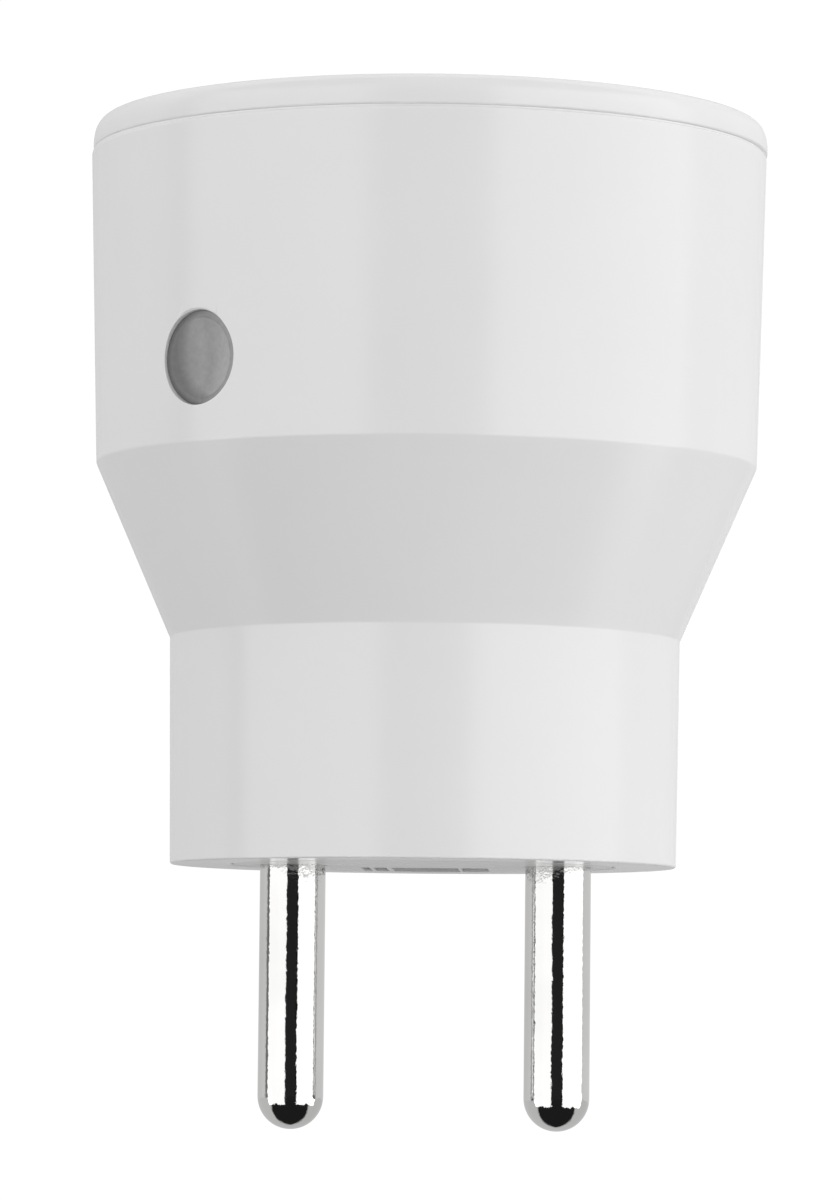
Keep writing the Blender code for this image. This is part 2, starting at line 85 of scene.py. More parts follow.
def spaced(points, longest):
    """The same line with no piece longer than this, so that the shading has no long slivers."""
    out = [points[0]]
    for (r0, z0), (r1, z1) in zip(points, points[1:]):
        n = max(1, int(math.ceil(math.hypot(r1 - r0, z1 - z0) / longest)))
        out += [(r0 + (r1 - r0) * k / n, z0 + (z1 - z0) * k / n) for k in range(1, n + 1)]
    return out


def turned(name, points, sides=160, ring=False):
    """A turned solid from (r, z) points that run down the outer side, as a Screw."""
    mesh = bpy.data.meshes.new(name)
    edges = [(i, i + 1) for i in range(len(points) - 1)]
    if ring:
        edges.append((len(points) - 1, 0))
    mesh.from_pydata([(r * MM, 0, z * MM) for r, z in points], edges, [])
    obj = bpy.data.objects.new(name, mesh)
    bpy.context.scene.collection.objects.link(obj)
    screw = obj.modifiers.new("turn", "SCREW")
    screw.axis, screw.angle = "Z", 2 * math.pi
    screw.steps = screw.render_steps = sides
    screw.use_merge_vertices, screw.merge_threshold = True, 0.000001
    return settle(obj)


def settle(obj):
    """Applies an object's modifiers and its place, leaving one plain mesh."""
    bpy.context.view_layer.update()
    graph = bpy.context.evaluated_depsgraph_get()
    made = bpy.data.meshes.new_from_object(obj.evaluated_get(graph))
    made.transform(obj.matrix_world)
    obj.modifiers.clear()
    old = obj.data
    obj.data = made
    made.name = obj.name
    obj.matrix_world = Matrix.Identity(4)
    bpy.data.meshes.remove(old)
    return obj


def moved(obj, matrix):
    obj.data.transform(matrix)
    return obj


def shift(obj, x=0.0, y=0.0, z=0.0):
    return moved(obj, Matrix.Translation((x * MM, y * MM, z * MM)))


def combine(obj, tools, operation):
    """Cuts or joins, one tool after another, and removes the tools. It works a thousand times larger, clear of the solver's own smallest step."""
    for piece in (obj, *tools):
        piece.data.transform(Matrix.Diagonal((1000, 1000, 1000, 1)))
    for tool in tools:
        m = obj.modifiers.new("b", "BOOLEAN")
        m.operation, m.solver, m.object = operation, "EXACT", tool
    settle(obj)
    obj.data.transform(Matrix.Diagonal((0.001, 0.001, 0.001, 1)))
    for tool in tools:
        mesh = tool.data
        bpy.data.objects.remove(tool, do_unlink=True)
        bpy.data.meshes.remove(mesh)
    return obj


def cut(obj, *tools):
    return combine(obj, tools, "DIFFERENCE")


def join(obj, *tools):
    return combine(obj, tools, "UNION")


def box(x0, x1, y0, y1, z0, z1, edge=0.0, segments=3, name="tool"):
    bm = bmesh.new()
    bmesh.ops.create_cube(bm, size=1.0)
    size = Matrix.Diagonal(((x1 - x0) * MM, (y1 - y0) * MM, (z1 - z0) * MM, 1))
    middle = Vector(((x0 + x1) / 2, (y0 + y1) / 2, (z0 + z1) / 2)) * MM
    bmesh.ops.transform(bm, matrix=Matrix.Translation(middle) @ size, verts=bm.verts)
    if edge:
        bmesh.ops.bevel(
            bm, geom=bm.edges[:], offset=edge * MM, segments=segments, profile=0.5, affect="EDGES"
        )
    mesh = bpy.data.meshes.new(name)
    bm.to_mesh(mesh)
    bm.free()
    obj = bpy.data.objects.new(name, mesh)
    bpy.context.scene.collection.objects.link(obj)
    return obj


def prism(outline, z0, z1, name="tool"):
    """A flat outline with a height."""
    bm = bmesh.new()
    low = [bm.verts.new((x * MM, y * MM, z0 * MM)) for x, y in outline]
    face = bm.faces.new(low)
    made = bmesh.ops.extrude_face_region(bm, geom=[face])
    up = [v for v in made["geom"] if isinstance(v, bmesh.types.BMVert)]
    bmesh.ops.translate(bm, vec=(0, 0, (z1 - z0) * MM), verts=up)
    bmesh.ops.recalc_face_normals(bm, faces=bm.faces)
    mesh = bpy.data.meshes.new(name)
    bm.to_mesh(mesh)
    bm.free()
    obj = bpy.data.objects.new(name, mesh)
    bpy.context.scene.collection.objects.link(obj)
    return obj


def hole(radius, z0, z1, lip=0.15, sides=64):
    """A cutter for a round hole whose upper mouth, at z1, has a rounded lip."""
    arc = [
        (radius + lip - lip * math.cos(a), z1 - lip + lip * math.sin(a))
        for a in [math.radians(t) for t in (75, 55, 35, 15, 0)]
    ]
    top = [(0.0, z1 + 1.0), (radius + lip * 1.4, z1 + 1.0), (radius + lip * 1.15, z1 + 0.02)]
    return turned("tool", top + arc + [(radius, z0), (0.0, z0)], sides)


def tidy(obj):
    """Merge the slivers that Booleans leave, all under a ten-thousandth of a millimetre."""
    bm = bmesh.new()
    bm.from_mesh(obj.data)
    bmesh.ops.remove_doubles(bm, verts=bm.verts, dist=1e-7)
    bmesh.ops.dissolve_degenerate(bm, dist=1e-7, edges=bm.edges)
    bm.to_mesh(obj.data)
    bm.free()


def smooth(obj, angle=38):
    tidy(obj)
    obj.data.shade_smooth()
    obj.data.set_sharp_from_angle(angle=math.radians(angle))
    m = obj.modifiers.new("normals", "WEIGHTED_NORMAL")
    m.keep_sharp = True
    m.weight = 60
    return obj


# ------------------------------------------------------------------ materials
def material(name, base, rough, metal=0.0):
    mat = bpy.data.materials.new(name)
    mat.use_nodes = True
    tree = mat.node_tree
    shader = tree.nodes["Principled BSDF"]
    shader.inputs["Base Color"].default_value = (*base, 1)
    shader.inputs["Roughness"].default_value = rough
    shader.inputs["Metallic"].default_value = metal
    return mat, tree, shader


def node(tree, kind, **values):
    made = tree.nodes.new(kind)
    for key, value in values.items():
        if key in made.inputs:
            made.inputs[key].default_value = value
        else:
            setattr(made, key, value)
    return made


def place(tree, scale=(1, 1, 1)):
    coords = node(tree, "ShaderNodeTexCoord")
    mapping = node(tree, "ShaderNodeMapping")
    mapping.inputs["Scale"].default_value = scale
    tree.links.new(coords.outputs["Object"], mapping.inputs["Vector"])
    return mapping.outputs["Vector"]


def noise(tree, vector, scale, detail=3.0, rough=0.55):
    made = node(tree, "ShaderNodeTexNoise", Scale=scale, Detail=detail, Roughness=rough)
    tree.links.new(vector, made.inputs["Vector"])
    return made.outputs["Fac"]


def span(tree, value, low, high, to_low, to_high):
    made = node(tree, "ShaderNodeMapRange")
    for key, v in (("From Min", low), ("From Max", high), ("To Min", to_low), ("To Max", to_high)):
        made.inputs[key].default_value = v
    tree.links.new(value, made.inputs["Value"])
    return made.outputs["Result"]


def blend_colours(tree, factor, a, b):
    made = node(tree, "ShaderNodeMix", data_type="RGBA")
    made.inputs["A"].default_value = (*a, 1)
    made.inputs["B"].default_value = (*b, 1)
    tree.links.new(factor, made.inputs["Factor"])
    return made.outputs["Result"]


def bumped(tree, shader, height, strength, distance):
    made = node(tree, "ShaderNodeBump", Strength=strength, Distance=distance)
    tree.links.new(height, made.inputs["Height"])
    tree.links.new(made.outputs["Normal"], shader.inputs["Normal"])
    return made


def added(tree, a, b, weight):
    made = node(tree, "ShaderNodeMath", operation="MULTIPLY_ADD")
    tree.links.new(b, made.inputs[0])
    made.inputs[1].default_value = weight
    tree.links.new(a, made.inputs[2])
    return made.outputs[0]


def moulded(name, base, rough, fleck=0.01, grain=0.004, pits=True):
    """Moulded plastic: a faint orange-peel, fine grain, a few specks of dust and rubbed patches."""
    mat, tree, shader = material(name, base, rough)
    where = place(tree)
    peel = noise(tree, where, 260, 2.0)
    fine = noise(tree, where, 5200, 2.0)
    cloud = noise(tree, where, 38, 4.0, 0.6)
    darker = tuple(c * (1 - fleck * 2.2) for c in base)
    lighter = tuple(min(1.0, c * (1 + fleck)) for c in base)
    tone = blend_colours(tree, span(tree, cloud, 0.3, 0.7, 0, 1), darker, lighter)
    if pits:
        speck = node(tree, "ShaderNodeTexVoronoi", Scale=150.0, feature="F1")
        tree.links.new(where, speck.inputs["Vector"])
        spot = span(tree, speck.outputs["Distance"], 0.018, 0.034, 1, 0)
        keep = node(tree, "ShaderNodeMath", operation="GREATER_THAN")
        tree.links.new(speck.outputs["Color"], keep.inputs[0])
        keep.inputs[1].default_value = 0.86
        few = node(tree, "ShaderNodeMath", operation="MULTIPLY")
        tree.links.new(spot, few.inputs[0])
        tree.links.new(keep.outputs[0], few.inputs[1])
        weak = node(tree, "ShaderNodeMath", operation="MULTIPLY")
        tree.links.new(few.outputs[0], weak.inputs[0])
        weak.inputs[1].default_value = 0.16
        mixed = node(tree, "ShaderNodeMix", data_type="RGBA")
        mixed.inputs["B"].default_value = (*[c * 0.5 for c in base], 1)
        tree.links.new(tone, mixed.inputs["A"])
        tree.links.new(weak.outputs[0], mixed.inputs["Factor"])
        tone = mixed.outputs["Result"]
    tree.links.new(tone, shader.inputs["Base Color"])
    tree.links.new(span(tree, cloud, 0.25, 0.75, rough * 0.9, rough * 1.12), shader.inputs["Roughness"])
    bumped(tree, shader, added(tree, peel, fine, 0.35), 0.25, grain * MM)
    return mat, tree, shader


def metal(name, base, rough, stretch=(1, 1, 0.02), lines=4200, depth=0.0012, tarnish=0.12, strength=0.3):
    """Plated or stamped metal with fine lines along one way and a faint film."""
    mat, tree, shader = material(name, base, rough, 1.0)
    where = place(tree, stretch)
    line = noise(tree, where, lines, 2.0)
    cloud = noise(tree, place(tree), 90, 4.0)
    film = blend_colours(
        tree, span(tree, cloud, 0.35, 0.75, 0, 1), base, tuple(c * (1 - tarnish) for c in base)
    )
    tree.links.new(film, shader.inputs["Base Color"])
    tree.links.new(
        span(tree, added(tree, cloud, line, 0.5), 0.4, 1.1, rough * 0.75, rough * 1.5),
        shader.inputs["Roughness"],
    )
    bumped(tree, shader, line, strength, depth * MM)
    return mat, tree, shader


white, _, white_shader = moulded("white_abs", (0.861, 0.86, 0.86), 0.20)
white_shader.inputs["IOR"].default_value = 1.49
white_shader.inputs["Subsurface Weight"].default_value = 0.0
base_white, base_tree, base_shader = moulded("base_abs", (0.84, 0.84, 0.842), 0.27, grain=0.006)
# Painted shade: the plug face's plastic starts to darken 0.25 mm above its face and is fully dark (0.46) from 0.9 mm
# up. This darkens the pockets, bores and earth window cut into it, where shade falls.
height = node(base_tree, "ShaderNodeSeparateXYZ")
base_tree.links.new(place(base_tree), height.inputs[0])
painted_recess_shade = span(base_tree, height.outputs["Z"], 0.25 * MM, 0.9 * MM, 0.0, 1.0)
tone = base_shader.inputs["Base Color"].links[0].from_socket
painted_shade_mix = node(base_tree, "ShaderNodeMix", data_type="RGBA")
painted_shade_mix.inputs["B"].default_value = (0.46, 0.46, 0.465, 1)
base_tree.links.new(tone, painted_shade_mix.inputs["A"])
base_tree.links.new(painted_recess_shade, painted_shade_mix.inputs["Factor"])
base_tree.links.new(painted_shade_mix.outputs["Result"], base_shader.inputs["Base Color"])
nickel, nickel_tree, nickel_shader = metal("pin_nickel", (0.725, 0.722, 0.714), 0.05)
handled = place(nickel_tree)
rubbed = noise(nickel_tree, handled, 3000, 2.5, 0.5)
worn = noise(nickel_tree, place(nickel_tree, (1, 1, 0.3)), 700, 3.0)
lines = [n for n in nickel_tree.nodes if n.bl_idname == "ShaderNodeBump"][0]
pits = node(nickel_tree, "ShaderNodeBump", Strength=0.8, Distance=0.013 * MM)
nickel_tree.links.new(added(nickel_tree, rubbed, worn, 1.5), pits.inputs["Height"])
nickel_tree.links.new(lines.outputs["Normal"], pits.inputs["Normal"])
nickel_tree.links.new(pits.outputs["Normal"], nickel_shader.inputs["Normal"])
spring_steel, _, _ = metal("spring_steel", (0.62, 0.62, 0.61), 0.25, (1, 1, 0.1), 2500)
brass, _, _ = metal("contact_brass", (0.80, 0.60, 0.30), 0.28, (1, 1, 0.1), 2500, tarnish=0.25)
screw_steel, _, _ = metal("screw_steel", (0.56, 0.56, 0.57), 0.28, (1, 1, 1), 3000)
shield, _, _ = metal("shield_can", (0.62, 0.62, 0.60), 0.3, (0.1, 1, 1), 2600)
copper, _, _ = metal("enamelled_copper", (0.72, 0.33, 0.14), 0.25, (1, 1, 1), 1200)
manganin, _, _ = metal("manganin", (0.60, 0.42, 0.32), 0.35, (0.1, 1, 1), 2200, tarnish=0.3)
carrier_black, _, _ = moulded("carrier_black", (0.05, 0.05, 0.052), 0.5, pits=False, grain=0.01)
shutter_grey, _, _ = moulded("shutter_grey", (0.66, 0.66, 0.67), 0.4, pits=False)
chip_black, _, _ = moulded("chip_resin", (0.022, 0.022, 0.024), 0.55, pits=False, grain=0.012)
relay_black, _, _ = moulded("relay_case", (0.02, 0.028, 0.05), 0.32, pits=False)
film_yellow, _, _ = moulded("film_case", (0.62, 0.42, 0.06), 0.3, pits=False)
varistor_blue, _, _ = moulded("varistor_coat", (0.02, 0.09, 0.36), 0.35, pits=False, grain=0.03)
can_sleeve, _, _ = moulded("capacitor_sleeve", (0.02, 0.02, 0.03), 0.28, pits=False)
ferrite, _, _ = moulded("ferrite", (0.06, 0.055, 0.055), 0.6, pits=False, grain=0.03)
ceramic, _, _ = moulded("fuse_ceramic", (0.72, 0.68, 0.60), 0.35, pits=False)
ivory, _, _ = moulded("connector_ivory", (0.72, 0.66, 0.50), 0.45, pits=False)
red_plastic, _, _ = moulded("plunger_red", (0.5, 0.05, 0.04), 0.4, pits=False)
led_lens, _, led_shader = moulded("led_lens", (0.80, 0.88, 0.82), 0.15, pits=False)
led_shader.inputs["Transmission Weight"].default_value = 0.35


def laminate():
    """Green solder mask over a faint glass weave."""
    mat, tree, shader = material("board_laminate", (0.02, 0.16, 0.07), 0.35)
    where = place(tree)
    weave = node(tree, "ShaderNodeTexWave", Scale=900.0, Distortion=0.4)
    tree.links.new(where, weave.inputs["Vector"])
    tone = blend_colours(tree, span(tree, weave.outputs["Fac"], 0, 1, 0, 1), (0.018, 0.15, 0.06), (0.03, 0.20, 0.09))
    tree.links.new(tone, shader.inputs["Base Color"])
    cloud = noise(tree, where, 200)
    tree.links.new(span(tree, cloud, 0.3, 0.7, 0.28, 0.42), shader.inputs["Roughness"])
    bumped(tree, shader, weave.outputs["Fac"], 0.3, 0.01 * MM)
    return mat


board_green = laminate()

# The button is smoky grey plastic with a fine grain, and painted shade lies over that: it is darker to the left, has
# a darker crescent near its left edge and a darker rim ring.
button_grey, button_tree, button_shader = moulded("button_smoke_painted_shade", (0.3, 0.3, 0.305), 0.24, pits=False)


def smoke_and_painted_shade(tree, shader):
    coords = node(tree, "ShaderNodeTexCoord")
    frame_of = node(tree, "ShaderNodeMapping", vector_type="TEXTURE")
    frame_of.inputs["Location"].default_value = (SIDE.x * -0.12 * MM, SIDE.y * -0.12 * MM, BUTTON_Z * MM)
    frame_of.inputs["Rotation"].default_value = (0.0, 0.0, -BUTTON_ANGLE)
    tree.links.new(coords.outputs["Object"], frame_of.inputs["Vector"])
    axes = node(tree, "ShaderNodeSeparateXYZ")
    tree.links.new(frame_of.outputs["Vector"], axes.inputs[0])
    across, high = axes.outputs["X"], axes.outputs["Z"]

    def away(x, z):
        """Distance in the face's own plane from a point on it."""
        apart = node(tree, "ShaderNodeCombineXYZ")
        tree.links.new(across, apart.inputs["X"])
        tree.links.new(high, apart.inputs["Z"])
        made = node(tree, "ShaderNodeVectorMath", operation="DISTANCE")
        tree.links.new(apart.outputs[0], made.inputs[0])
        made.inputs[1].default_value = (x * MM, 0.0, z * MM)
        return made.outputs["Value"]

    # Painted shade: the face runs from dark on the left to pale on the right, as the light falls.
    side = span(tree, across, -1.8 * MM, 2.6 * MM, 0.0, 1.0)
    body = blend_colours(tree, side, (0.27, 0.27, 0.273), (0.44, 0.44, 0.442))
    # Painted shade: a dark crescent towards the left edge, far from a point right of the centre.
    shade = span(tree, away(1.6, 0.5), 3.1 * MM, 4.0 * MM, 0.0, 1.0)
    body = mixed_colour(tree, shade, body, (0.15, 0.15, 0.153))
    # Painted shade: the rim beyond 2.74 mm is darker, with the same painted left-to-right shade.
    ring = span(tree, away(0.0, 0.0), 2.74 * MM, 2.82 * MM, 0.0, 0.75)
    outer = blend_colours(tree, side, (0.165, 0.165, 0.168), (0.31, 0.31, 0.313))
    tone = node(tree, "ShaderNodeMix", data_type="RGBA")
    tree.links.new(ring, tone.inputs["Factor"])
    tree.links.new(body, tone.inputs["A"])
    tree.links.new(outer, tone.inputs["B"])
    grain = noise(tree, coords.outputs["Object"], 2600, 3.0)
    flecked = node(tree, "ShaderNodeMix", data_type="RGBA", blend_type="MULTIPLY")
    flecked.inputs["Factor"].default_value = 1.0
    tree.links.new(tone.outputs["Result"], flecked.inputs["A"])
    tree.links.new(blend_colours(tree, span(tree, grain, 0.3, 0.7, 0, 1), (0.93, 0.93, 0.93), (1.06, 1.06, 1.06)), flecked.inputs["B"])
    tree.links.new(flecked.outputs["Result"], shader.inputs["Base Color"])


def mixed_colour(tree, factor, a, b):
    """A socket's colour mixed towards a fixed one."""
    made = node(tree, "ShaderNodeMix", data_type="RGBA")
    tree.links.new(factor, made.inputs["Factor"])
    tree.links.new(a, made.inputs["A"])
    made.inputs["B"].default_value = (*b, 1)
    return made.outputs["Result"]


smoke_and_painted_shade(button_tree, button_shader)

# ------------------------------------------------------------------ housing
shell = [
    (21.75, 51.46, 0.0),
    (SEAM_R - 0.16, 51.46, 0.0),
    (SEAM_R - 0.16, 51.32, 0.03),
    (SEAM_R - 0.03, 51.27, 0.06),
    (SEAM_R, 51.05, 0.05),
    (HEAD_R, HEAD_Z, 0.6),
    (FOOT_R, FOOT_Z, 0.35),
    (BASE_R, 0.0, 0.16),
    (13.85, 0.0, 0.12),
    (13.85, 2.2, 0.0),
    (16.2, 2.3, 0.0),
    (16.2, 16.6, 0.0),
    (21.75, 29.1, 0.0),
]
housing = turned("housing_shell", spaced(rounded(shell), 2.6), 192, ring=True)
face_r = HEAD_R + (SEAM_R - HEAD_R) * (BUTTON_Z - HEAD_Z) / (SEAM_Z - HEAD_Z)
mouth = hole(3.32, -6.0, 0.0, lip=0.09, sides=96)
mouth_place = (
    Matrix.Translation((OUT * face_r + SIDE * -0.12 + Vector((0, 0, BUTTON_Z))) * MM)
    @ Matrix((
        (SIDE.x, 0.0, OUT.x, 0.0),
        (SIDE.y, 0.0, OUT.y, 0.0),
        (0.0, 1.0, 0.0, 0.0),
        (0.0, 0.0, 0.0, 1.0),
    ))
)
if mouth_place.determinant() < 0:
    mouth_place = mouth_place @ Matrix.Diagonal((-1, 1, 1, 1))
moved(mouth, mouth_place)
cut(housing, mouth)
smooth(housing)

# ------------------------------------------------------------------ cap ring and socket well
cap_bend = [
    (CAP_R - 1.2 + 1.2 * max(0.0, math.cos(a)) ** 0.80, TOP_Z - 1.86 + 1.80 * math.sin(a) ** 0.90)
    for a in [math.radians(90 - 6 * i) for i in range(16)]
]
well = (
    [(0.0, FLOOR_Z)]
    + spaced([(0.6, FLOOR_Z), (18.9, FLOOR_Z)], 3.0)
    + [(19.5 - 0.6 + 0.6 * math.sin(a), FLOOR_Z + 0.6 - 0.6 * math.cos(a)) for a in [math.radians(15 * i) for i in range(1, 7)]]
    + spaced([(19.5, 40.0), (19.75, TOP_Z - 0.76)], 2.5)
    + [(20.45 - 0.7 * math.cos(a), TOP_Z - 0.76 + 0.7 * math.sin(a)) for a in [math.radians(15 * i) for i in range(1, 7)]]
    + spaced([(20.8, TOP_Z - 0.06), (22.9, TOP_Z - 0.06)], 0.8)
    + cap_bend
    + rounded([(CAP_R, 51.85, 0), (CAP_R, 51.47, 0.17), (23.9, 51.47, 0)])[1:]
    + [(21.65, 51.47), (21.65, 49.5), (20.7, 49.5), (20.7, 36.6), (0.0, 36.6)]
)
cap = turned("socket_cap", well, 192)
for x, y in SCREWS:
    join(cap, shift(turned("tool", [(0, 37.5), (3.4, 37.5), (3.4, 35.4), (0, 35.4)], 48), x, y))
tools = []
for side in (-1, 1):
    tools.append(shift(hole(2.65, -4.0, 0.0, 0.55), side * HALF, 0, FLOOR_Z))
tools.append(shift(hole(2.62, -4.0, 0.0, 0.12), 0, EARTH_Y, FLOOR_Z))
for x, y in SCREWS:
    tools.append(shift(hole(2.85, -1.6, 0.0, 0.18, 48), x, y, FLOOR_Z))
    tools.append(shift(turned("tool", [(0, 38), (1.5, 38), (1.5, 34), (0, 34)], 32), x, y))
cut(cap, *tools)
smooth(shift(cap, 0.085))

# ------------------------------------------------------------------ plug face
disc = [
    (0.0, 2.0, 0),
    (12.6, 2.0, 0),
    (12.6, 4.3, 0),
    (15.8, 4.3, 0),
    (15.8, 2.5, 0),
    (13.7, 2.5, 0),
    (13.7, 0.0, 0.25),
    (12.2, 0.0, 0),
    (0.0, 0.0, 0),
]
plug_face = turned("plug_face", spaced(rounded(disc), 3.0), 144)
join(plug_face, box(-5.6, 5.6, 4.6, 13.4, 1.2, 16.5))
cut(plug_face, box(-3.5, 3.5, 6.2, 12.8, 1.3, 15.2))
cut(plug_face, box(-2.3, 2.3, 9.4, 10.6, 14.7, 18.0))
# Four pockets leave slim ribs between them, clear of the pin that enters the widest one.
for low, high in ((-4.6, -4.0), (-3.75, -2.77), (-2.43, 2.43), (2.65, 4.6)):
    pocket = [(low, 4.1), (high, 4.1)]
    for i in range(7):
        a = math.asin((high + (low - high) * i / 6) / 13.0)
        pocket.append((13.0 * math.sin(a), 13.0 * math.cos(a)))
    cut(plug_face, prism(pocket, -1.0, 1.5))
for x in PIN_X:
    bore = [(0, 5), (2.40, 5), (2.40, 0.12), (3.02, -0.5), (0, -0.5)]
    cut(plug_face, shift(turned("tool", bore, 64), x))
for x in PIN_X:
    boss = [(3.8, 6.2), (5.2, 6.2), (5.2, 2.4), (4.9, 1.9), (3.8, 1.9)]
    join(plug_face, shift(turned("tool", boss, 64, ring=True), x))
for side in (-1, 1):
    post = turned("tool", [(0, POST_Z), (1.9, POST_Z), (1.9, 3.6), (0, 3.6)], 40)
    cut(post, turned("tool", [(0, POST_Z + 1), (1.0, POST_Z + 1), (1.0, 8.0), (0, 8.0)], 24))
    join(plug_face, shift(post, side * 13.2, 4.6))
smooth(plug_face)

# ------------------------------------------------------------------ pins
steps = [math.radians(-90 * i / 20) for i in range(21)]
pin_points = (
    spaced([(0.0, 8.5), (1.75, 8.5), (1.75, 3.5), (3.5, 3.5), (3.5, 2.3), (PIN_R, 2.3)], 3.0)
    + spaced([(PIN_R, 2.2), (PIN_R, PIN_R - PIN_LENGTH)], 1.2)[1:]
    + [(PIN_R * math.cos(a), PIN_R - PIN_LENGTH + PIN_R * math.sin(a)) for a in steps[1:]]
)
left_pin = smooth(shift(turned("left_pin", pin_points, 96), PIN_X[0]))
right_pin = smooth(shift(turned("right_pin", pin_points, 96), PIN_X[1]))
rise = FLOOR_Z + 14.0
earth_points = (
    [(PIN_R * math.cos(a), rise - PIN_R - PIN_R * math.sin(a)) for a in reversed(steps)]
    + spaced([(PIN_R, rise - PIN_R), (PIN_R, 36.3), (3.6, 36.3), (3.6, 34.8), (1.8, 34.8), (1.8, 29.9), (0.0, 29.9)], 1.5)[1:]
)
earth = smooth(shift(turned("socket_earth_pin", earth_points, 96), 0, EARTH_Y))

# ------------------------------------------------------------------ button, facing out along OUT
FACE = 23.55
rim_in, dish = 2.72, 0.5
ball = (rim_in**2 + dish**2) / (2 * dish)
cup = [
    (ball * math.sin(a), FACE - dish + ball - ball * math.cos(a))
    for a in [math.asin(rim_in / ball) * (i / 16) for i in range(17)]
]
button_points = (
    cup
    + [(2.76, FACE + 0.01), (3.05, FACE - 0.02)]
    + [
        (3.27 + 0.04 * math.sin(a), FACE - 0.08 + 0.04 * math.cos(a))
        for a in [math.radians(15 * i) for i in range(1, 7)]
    ]
    + [(3.31, 22.2), (3.31, 21.1)]
    + [(4.1, 21.1), (4.1, 20.5), (0.0, 20.5)]
)
button = turned("button_cap", button_points, 96)
for spot in button.data.vertices:
    if spot.co.z > (FACE - 0.6) * MM and math.hypot(spot.co.x, spot.co.y) < 2.8 * MM:
        spot.co.x *= 1.05
    if spot.co.z > (FACE - 0.6) * MM:
        spot.co.z -= 0.035 * spot.co.x
to_side = Matrix.Rotation(-math.pi / 2 - BUTTON_ANGLE, 4, "Z") @ Matrix.Rotation(math.pi / 2, 4, "Y")
cut(button, box(-8.0, -(36.2 - BUTTON_Z), -6, 6, 19.0, 21.6))
moved(button, Matrix.Translation((0, 0, BUTTON_Z * MM)) @ to_side)
moved(button, Matrix.Translation((SIDE * -0.12 + Vector((0, 0, 0))) * MM))
smooth(button)

# ------------------------------------------------------------------ shutter and cover screws
shutter = turned("shutter_blade", rounded([(0, 1.5, 0), (4.6, 1.5, 0.2), (4.6, 0, 0.2), (0, 0, 0)]), 64)
join(shutter, box(-HALF, HALF, -1.9, 1.9, 0.02, 1.48))
for side in (-1, 1):
    pad = turned("tool", rounded([(0, 1.5, 0), (2.9, 1.5, 0.35), (2.9, 0, 0.15), (0, 0, 0)]), 64)
    join(shutter, shift(pad, side * HALF))
cut(shutter, turned("tool", [(0, 3), (2.2, 3), (2.2, -1), (0, -1)], 48))
smooth(shift(shutter, 0, 0, 34.75))

screw_points = rounded([(0, 38.2, 0), (2.1, 38.2, 0.1), (2.6, 37.8, 0.1), (2.6, 37.1, 0.05), (1.2, 37.1, 0), (1.2, 27.6, 0), (0, 27.0, 0)])
screws = []
for index, (x, y) in enumerate(SCREWS, 1):
    screw = turned("cover_screw_head_%d" % index, screw_points, 64)
    star = []
    for k in range(36):
        a = 2 * math.pi * k / 36
        star.append(((1.12 + 0.2 * math.cos(6 * a)) * math.cos(a), (1.12 + 0.2 * math.cos(6 * a)) * math.sin(a)))
    cut(screw, prism(star, 37.35, 39.0))
    moved(screw, Matrix.Rotation(0.7 * index, 4, "Z"))
    screws.append(smooth(shift(screw, x, y)))


def stands(piece, mat, body, slot, *cad):
    piece.data.materials.clear()
    piece.data.materials.append(mat)
    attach(piece, body)
    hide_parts(*cad)


stands(housing, white, ADAPTOR, "white_plastic", "main_housing")
stands(cap, white, ADAPTOR, "white_plastic", "socket_cover")
stands(plug_face, base_white, ADAPTOR, "base_plastic", "base_insert")
stands(left_pin, nickel, ADAPTOR, "nickel", "line_pin")
stands(right_pin, nickel, ADAPTOR, "nickel", "neutral_pin")
stands(earth, nickel, ADAPTOR, "nickel", "earth_pin")
stands(button, button_grey, "button", "button_plastic", "push_button")
stands(shutter, shutter_grey, "safety_shutter", "shutter_plastic", "shutter")
for index, screw in enumerate(screws, 1):
    stands(screw, screw_steel, ADAPTOR, "screw_steel", "cover_screw_%d" % index)

CARRIED = {
    "earth_clip": spring_steel,
    "shutter_spring": spring_steel,
    "line_contact": brass,
    "neutral_contact": brass,
    "line_busbar": brass,
    "neutral_busbar": brass,
    "earth_strap": brass,
    "contact_carrier": carrier_black,
    "power_board": board_green,
    "control_board": board_green,
    "relay": relay_black,
    "mains_capacitor": film_yellow,
    "surge_varistor": varistor_blue,
    "smoothing_capacitor": can_sleeve,
    "filter_inductor": ferrite,
    "line_fuse": ceramic,
    "current_shunt": manganin,
    "supply_chip": chip_black,
    "bridge_rectifier": chip_black,
    "metering_chip": chip_black,
    "tact_switch": chip_black,
    "board_connector": ivory,
    "radio_module": shield,
    "status_led": led_lens,
    "antenna_coil": copper,
    "switch_plunger": red_plastic,
    "board_screw_1": screw_steel,
    "board_screw_2": screw_steel,
}
for name, mat in CARRIED.items():
    obj = nodes[name]
    for place_in in obj.material_slots:
        place_in.material = mat

# ------------------------------------------------------------------ floor, light and camera
BACK, FLOOR_GLOW, TOP_GLOW = 0.64, (0.155, 0.335), 0.55
WALL = [(-140.0, 0.66), (-110.0, 0.74), (-97.5, 0.72), (-96.5, 0.2), (-88.0, 0.2), (-80.0, 0.0), (-17.0, 0.0), (-16.0, 0.02), (18.0, 0.02), (19.0, 0.0), (98.0, 0.0), (98.5, 0.74), (120.0, 0.77), (150.0, 0.74)]
floor_mesh = bpy.data.meshes.new("floor")
floor_bm = bmesh.new()
bmesh.ops.create_grid(floor_bm, x_segments=8, y_segments=8, size=6.0)
floor_bm.to_mesh(floor_mesh)
floor_bm.free()
floor = bpy.data.objects.new("floor", floor_mesh)
floor.location = (0, 0, -0.5)
bpy.context.scene.collection.objects.link(floor)
pale, tree, shader = material("pale_floor", (0.8, 0.8, 0.8), 0.9)
